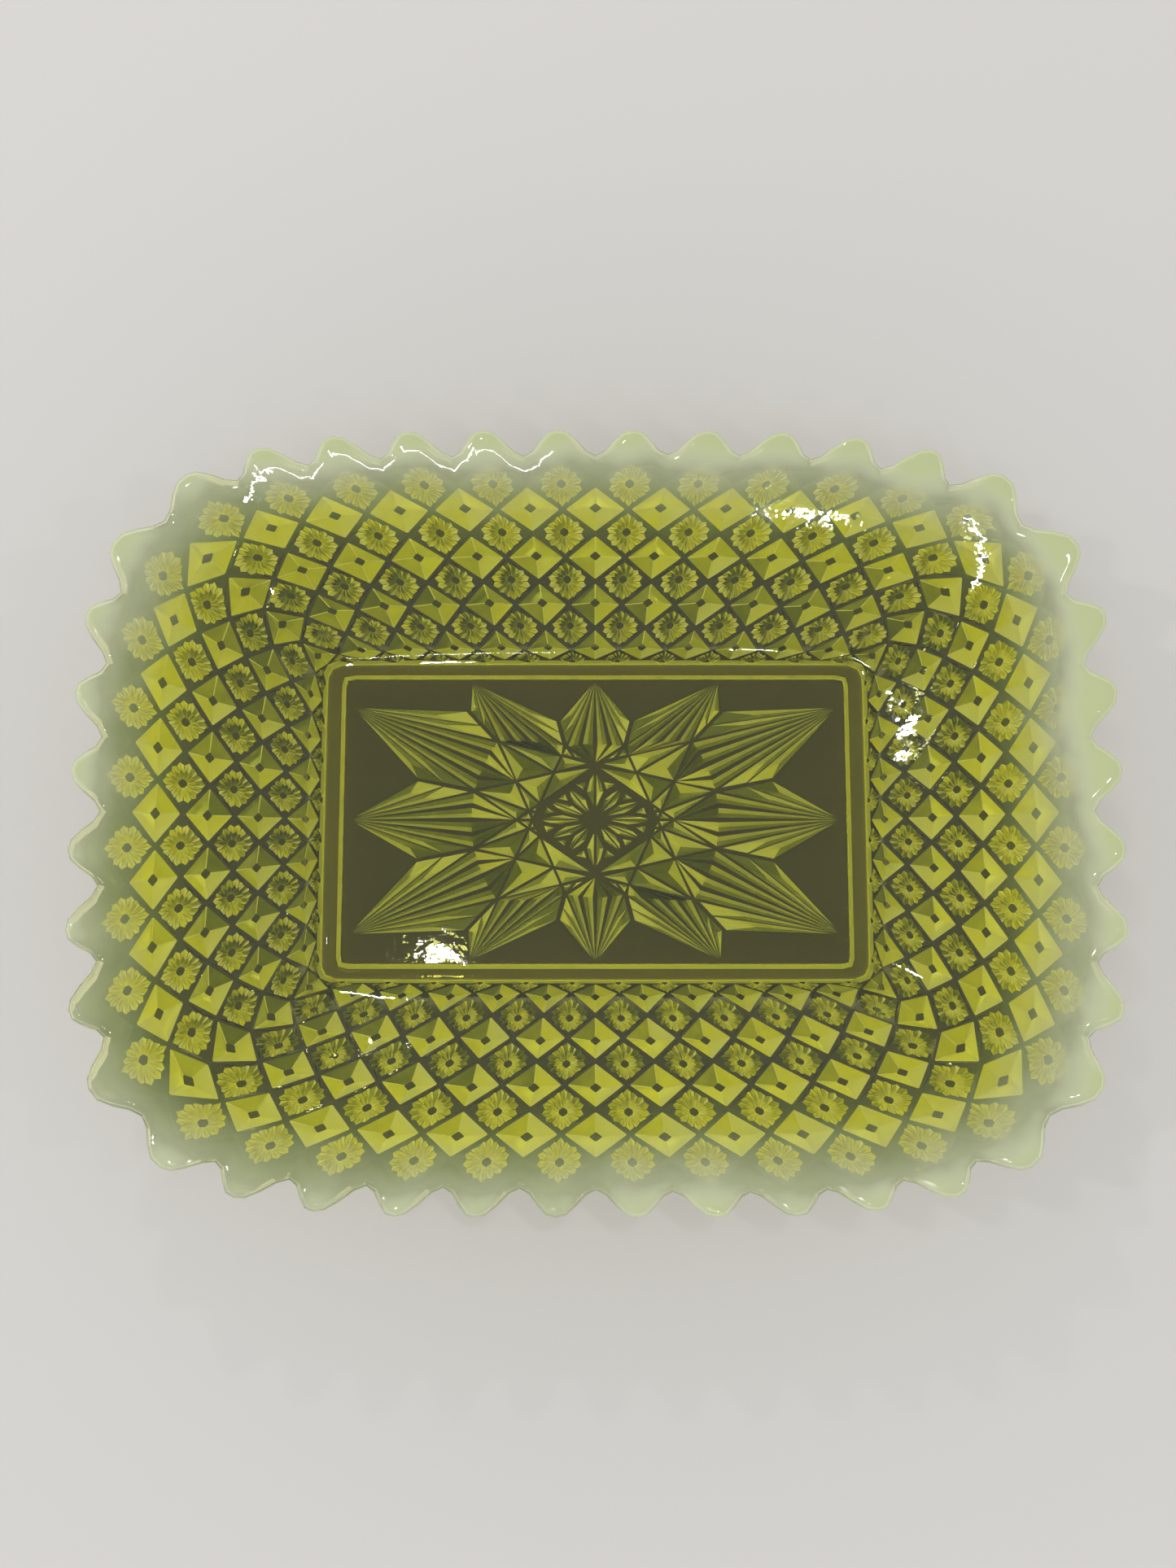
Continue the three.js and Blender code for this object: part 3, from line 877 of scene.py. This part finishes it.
def add_lip(last, upper, under, outward):
    """Rounded edge between the upper and the under side. Returns its lowest ring."""
    middle = (upper + under) / 2
    radius = (upper - under) / 2
    reach = np.linalg.norm(radius, axis=-1, keepdims=True)
    for angle in np.linspace(0, math.pi, LIP_STEPS + 1)[1:-1]:
        ring = shell.add(middle + radius * math.cos(angle) + outward * reach * math.sin(angle))
        shell.strip(last, ring, closed=True, smooth=True)
        last = ring
    ring = shell.add(under)
    shell.strip(last, ring, closed=True, smooth=True)
    return ring


def add_band(last, columns, lip_columns, lip_share):
    """Plain band under the lip, in to the zigzag edge of the pattern."""
    off_tip = np.abs(columns - np.round(columns)) * 2
    zigzag_share = row_share(LAST_ROW + off_tip)
    for rise in np.linspace(1, 0, BAND_RINGS + 1)[1:]:
        band_columns = columns + (lip_columns - columns) * rise
        band_share = zigzag_share + (lip_share - zigzag_share) * rise
        ease = 1 - (1 - rise) ** 3
        depth = RELIEF + (GLASS - LIP - RELIEF) * ease
        ring = shell.add(wall_point(band_columns, band_share, depth))
        shell.strip(last, ring, closed=True, smooth=True)
        last = ring


def make_dish():
    foot_edge, foot_columns = add_pattern()
    shell.side = UNDER_FOOT
    add_star(add_foot(foot_edge, foot_columns))
    shell.side = INSIDE
    columns, lip_columns, lip_share, outward = lip_places()
    upper = inner_point(lip_columns, lip_share)
    under = wall_point(lip_columns, lip_share, GLASS - LIP)
    rim = add_lip(add_inside(columns, lip_columns, lip_share), upper, under, outward)
    shell.side = OUTSIDE
    add_band(rim, columns, lip_columns, lip_share)
    mesh = bpy.data.meshes.new("dish_glass")
    mesh.from_pydata([tuple(p * MM) for p in shell.points], [], shell.faces)
    mesh.polygons.foreach_set("use_smooth", shell.smooth)
    mesh.attributes.new("facet", "FLOAT", "FACE").data.foreach_set("value", shell.facet)
    mesh.attributes.new("under", "FLOAT", "FACE").data.foreach_set("value", shell.under)
    work = bmesh.new()
    work.from_mesh(mesh)
    bmesh.ops.remove_doubles(work, verts=work.verts, dist=WELD * MM)
    bmesh.ops.recalc_face_normals(work, faces=work.faces)
    work.to_mesh(mesh)
    work.free()
    dish = bpy.data.objects.new("dish_glass", mesh)
    bpy.context.collection.objects.link(dish)
    return dish


dish = make_dish()


# ---------------------------------------------------------------- glass

def add_node(tree, kind, settings=(), sockets=()):
    node = tree.nodes.new(kind)
    for name, value in dict(settings).items():
        setattr(node, name, value)
    for name, value in dict(sockets).items():
        node.inputs[name].default_value = value
    return node


def ramp(tree, value, stops, interpolation="EASE"):
    """Maps a value to colours or weights given at stops."""
    node = add_node(tree, "ShaderNodeValToRGB")
    node.color_ramp.interpolation = interpolation
    elements = node.color_ramp.elements
    while len(elements) < len(stops):
        elements.new(0.5)
    for element, (place, colour) in zip(elements, stops):
        element.position = place
        element.color = colour if isinstance(colour, tuple) else (colour, colour, colour, 1)
    tree.links.new(value, node.inputs["Fac"])
    return node.outputs["Color"]


def math_node(tree, operation, *values):
    node = add_node(tree, "ShaderNodeMath", {"operation": operation})
    for i, value in enumerate(values):
        if isinstance(value, (int, float)):
            node.inputs[i].default_value = value
        else:
            tree.links.new(value, node.inputs[i])
    return node.outputs["Value"]


def blend(tree, share, first, second):
    node = add_node(tree, "ShaderNodeMix", {"data_type": "RGBA"})
    share_socket, first_socket, second_socket = 0, 6, 7
    tree.links.new(share, node.inputs[share_socket])
    tree.links.new(first, node.inputs[first_socket])
    tree.links.new(second, node.inputs[second_socket])
    return node.outputs[2]


def noise(tree, place, scale, detail, roughness):
    node = add_node(tree, "ShaderNodeTexNoise",
                    sockets={"Scale": scale, "Detail": detail, "Roughness": roughness})
    tree.links.new(place, node.inputs["Vector"])
    return node.outputs["Fac"]


def milk_level(tree, place, under):
    """Height in the wall, as a share of the rim's height, made uneven and leaning to one corner."""
    split = add_node(tree, "ShaderNodeSeparateXYZ")
    tree.links.new(place, split.inputs["Vector"])
    x, y, z = split.outputs
    height = math_node(tree, "MULTIPLY", z, 1 / (RIM_HEIGHT * MM))
    same = math_node(tree, "MULTIPLY_ADD", under, UNDER_SHIFT, height)
    sideways = math_node(tree, "MULTIPLY_ADD", x, MILK_LEAN, math_node(tree, "MULTIPLY", y, MILK_LEAN))
    patches = noise(tree, place, *PATCHES)
    cloud = math_node(tree, "MULTIPLY_ADD", patches, MILK_CLOUD, -MILK_CLOUD / 2)
    return math_node(tree, "ADD", math_node(tree, "ADD", same, sideways), cloud)


def clear_colour(tree, place, facet, is_facet, ground):
    """Colour of the clear glass: its own pale tint inside, painted shade where the ground is flat
    outside and under the foot, and painted light, mottled, on the facets.
    """
    # The glass keeps its own pale tint inside; the flat ground under the foot and outside is painted
    # dark, as painted shade
    plain = ramp(tree, ground, [
        (INSIDE, (0.93, 0.94, 0.75, 1)), (UNDER_FOOT, (0.28, 0.25, 0.08, 1)),
        (OUTSIDE, (0.11, 0.12, 0.012, 1))], "LINEAR")
    mottle = noise(tree, place, *MOTTLE)
    painted_light_mottled = math_node(tree, "MULTIPLY_ADD", mottle, FACET_MOTTLE, facet)
    # Facet colours run from painted shade to a pale painted highlight at the top stop
    facet_colour = ramp(tree, painted_light_mottled, [
        (0.31, (0.23, 0.26, 0.01, 1)), (0.58, (0.72, 0.71, 0.02, 1)),
        (0.80, (1.0, 0.96, 0.07, 1)), (1.0, (1.0, 0.98, 0.50, 1))], "LINEAR")
    return blend(tree, is_facet, plain, facet_colour)


def milk_share(tree, level, is_facet, ground):
    """How milky the glass is: the flat ground turns milky lower down than the rest of the wall."""
    kept = math_node(tree, "MULTIPLY_ADD", is_facet, -MILK_CLEARED, level)
    inside = ramp(tree, kept, [
        (0.74, 0.0), (0.84, 0.10), (0.92, 0.32), (0.965, 0.75), (1.0, 1.0)], "LINEAR")
    on_ground = ramp(tree, level, [(0.64, 0.0), (0.74, 0.45), (0.84, 0.85), (0.90, 1.0)], "LINEAR")
    return math_node(tree, "MAXIMUM", inside, math_node(tree, "MULTIPLY", ground, on_ground))


def make_glass():
    """Yellow-green glass, milky towards the rim. Facets are painted light: mostly opaque and bright.
    The flat ground outside and under the foot is painted shade: darkened.
    """
    material = bpy.data.materials.new("uranium_glass")
    material.use_nodes = True
    tree = material.node_tree
    shader, output = tree.nodes["Principled BSDF"], tree.nodes["Material Output"]
    place = add_node(tree, "ShaderNodeTexCoord").outputs["Object"]
    # The facet attribute holds each face's painted light and shade; zero marks the flat ground
    facet = add_node(tree, "ShaderNodeAttribute", {"attribute_name": "facet"}).outputs["Fac"]
    under = add_node(tree, "ShaderNodeAttribute", {"attribute_name": "under"}).outputs["Fac"]
    level = milk_level(tree, place, under)
    is_facet = math_node(tree, "GREATER_THAN", facet, FACET_MARK)
    ground = math_node(tree, "MULTIPLY", under, math_node(tree, "LESS_THAN", facet, FACET_MARK))
    milk = milk_share(tree, level, is_facet, ground)
    clear = clear_colour(tree, place, facet, is_facet, ground)
    milk_colour = ramp(tree, level, [
        (0.60, (0.14, 0.19, 0.08, 1)), (0.82, (0.25, 0.32, 0.18, 1)),
        (0.90, (0.30, 0.36, 0.18, 1)), (0.98, (0.43, 0.47, 0.25, 1))])
    tree.links.new(blend(tree, milk, clear, milk_colour), shader.inputs["Base Color"])
    # Facets are made mostly opaque so that their painted light shows instead of the clear glass
    open_share = math_node(tree, "MULTIPLY_ADD", is_facet, -FACET_PAINTED_LIGHT_SHARE, 1.0)
    see_through = math_node(tree, "MULTIPLY", open_share, math_node(tree, "SUBTRACT", 1.0, milk))
    tree.links.new(see_through, shader.inputs["Transmission Weight"])
    wear = noise(tree, place, *WEAR)
    tree.links.new(ramp(tree, wear, [(0.45, POLISHED), (0.75, WORN)]), shader.inputs["Roughness"])
    shader.inputs["IOR"].default_value = REFRACTION
    ripple = add_node(tree, "ShaderNodeBump",
                      sockets={"Strength": RIPPLE_STRENGTH, "Distance": RIPPLE_HEIGHT * MM})
    tree.links.new(noise(tree, place, *RIPPLE), ripple.inputs["Height"])
    tree.links.new(ripple.outputs["Normal"], shader.inputs["Normal"])
    absorption = add_node(tree, "ShaderNodeVolumeAbsorption",
                          sockets={"Color": ABSORPTION_COLOUR, "Density": ABSORPTION_DENSITY})
    tree.links.new(absorption.outputs["Volume"], output.inputs["Volume"])
    return material


dish.data.materials.append(make_glass())
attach(dish, "root")
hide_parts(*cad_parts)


# ---------------------------------------------------------------- floor, light and camera

def make_floor():
    corners = [(-FLOOR_HALF, -FLOOR_HALF, 0), (FLOOR_HALF, -FLOOR_HALF, 0),
               (FLOOR_HALF, FLOOR_HALF, 0), (-FLOOR_HALF, FLOOR_HALF, 0)]
    mesh = bpy.data.meshes.new("studio_floor")
    mesh.from_pydata(corners, [], [(0, 1, 2, 3)])
    floor = bpy.data.objects.new("studio_floor", mesh)
    bpy.context.collection.objects.link(floor)
    material = bpy.data.materials.new("pale_floor")
    material.use_nodes = True
    shader = material.node_tree.nodes["Principled BSDF"]
    shader.inputs["Base Color"].default_value = FLOOR_COLOUR
    shader.inputs["Roughness"].default_value = FLOOR_ROUGHNESS
    mesh.materials.append(material)


def add_softbox(name, place, size, power):
    """A small soft lamp that points at the dish and shows in the glass as a highlight."""
    lamp = bpy.data.lights.new(name, "AREA")
    lamp.shape = "RECTANGLE"
    lamp.size, lamp.size_y = size
    lamp.energy = power
    box = bpy.data.objects.new(name, lamp)
    box.location = place
    box.rotation_euler = (-Vector(place)).to_track_quat("-Z", "Y").to_euler()
    bpy.context.collection.objects.link(box)


def add_camera():
    lens = bpy.data.cameras.new("main_view")
    lens.sensor_width = CAMERA_SENSOR
    lens.lens = CAMERA_LENS
    lens.clip_start = CAMERA_NEAREST
    camera = bpy.data.objects.new("main_view", lens)
    back = Vector((0, -math.cos(CAMERA_ELEVATION), math.sin(CAMERA_ELEVATION)))
    camera.location = CAMERA_TARGET + back * CAMERA_DISTANCE
    camera.rotation_euler = (math.pi / 2 - CAMERA_ELEVATION, 0, 0)
    bpy.context.collection.objects.link(camera)
    bpy.context.scene.camera = camera


def make_world():
    """Soft light that is bright round the sides and dim overhead, so the glass keeps its depth."""
    world = bpy.data.worlds.new("studio")
    world.use_nodes = True
    tree = world.node_tree
    split = add_node(tree, "ShaderNodeSeparateXYZ")
    tree.links.new(add_node(tree, "ShaderNodeTexCoord").outputs["Generated"], split.inputs["Vector"])
    grey = ramp(tree, split.outputs["Z"], [
        (0.0, 0.145), (0.06, 0.155), (0.17, 0.85), (0.30, 0.62), (0.42, 0.16), (1.0, 0.15)])
    tree.links.new(grey, tree.nodes["Background"].inputs["Color"])
    tree.nodes["Background"].inputs["Strength"].default_value = STUDIO_LIGHT
    return world


make_floor()
add_softbox("window_left", (-0.95, 0.22, 0.95), (0.030, 0.050), 1.6)
add_softbox("window_front", (0.20, -0.66, 0.95), (0.024, 0.012), 0.30)
add_softbox("window_right", (1.00, -0.06, 0.90), (0.018, 0.034), 0.7)
add_softbox("window_back", (-0.25, 1.05, 0.72), (0.05, 0.02), 1.2)
add_softbox("ceiling_lamp", (-0.20, -0.11, 1.30), (0.07, 0.04), 1)
add_softbox("tube_lamp", (-0.32, -0.55, 1.30), (0.60, 0.012), 1.6)
add_camera()
bpy.context.scene.world = make_world()
bpy.context.scene.view_settings.view_transform = "Standard"
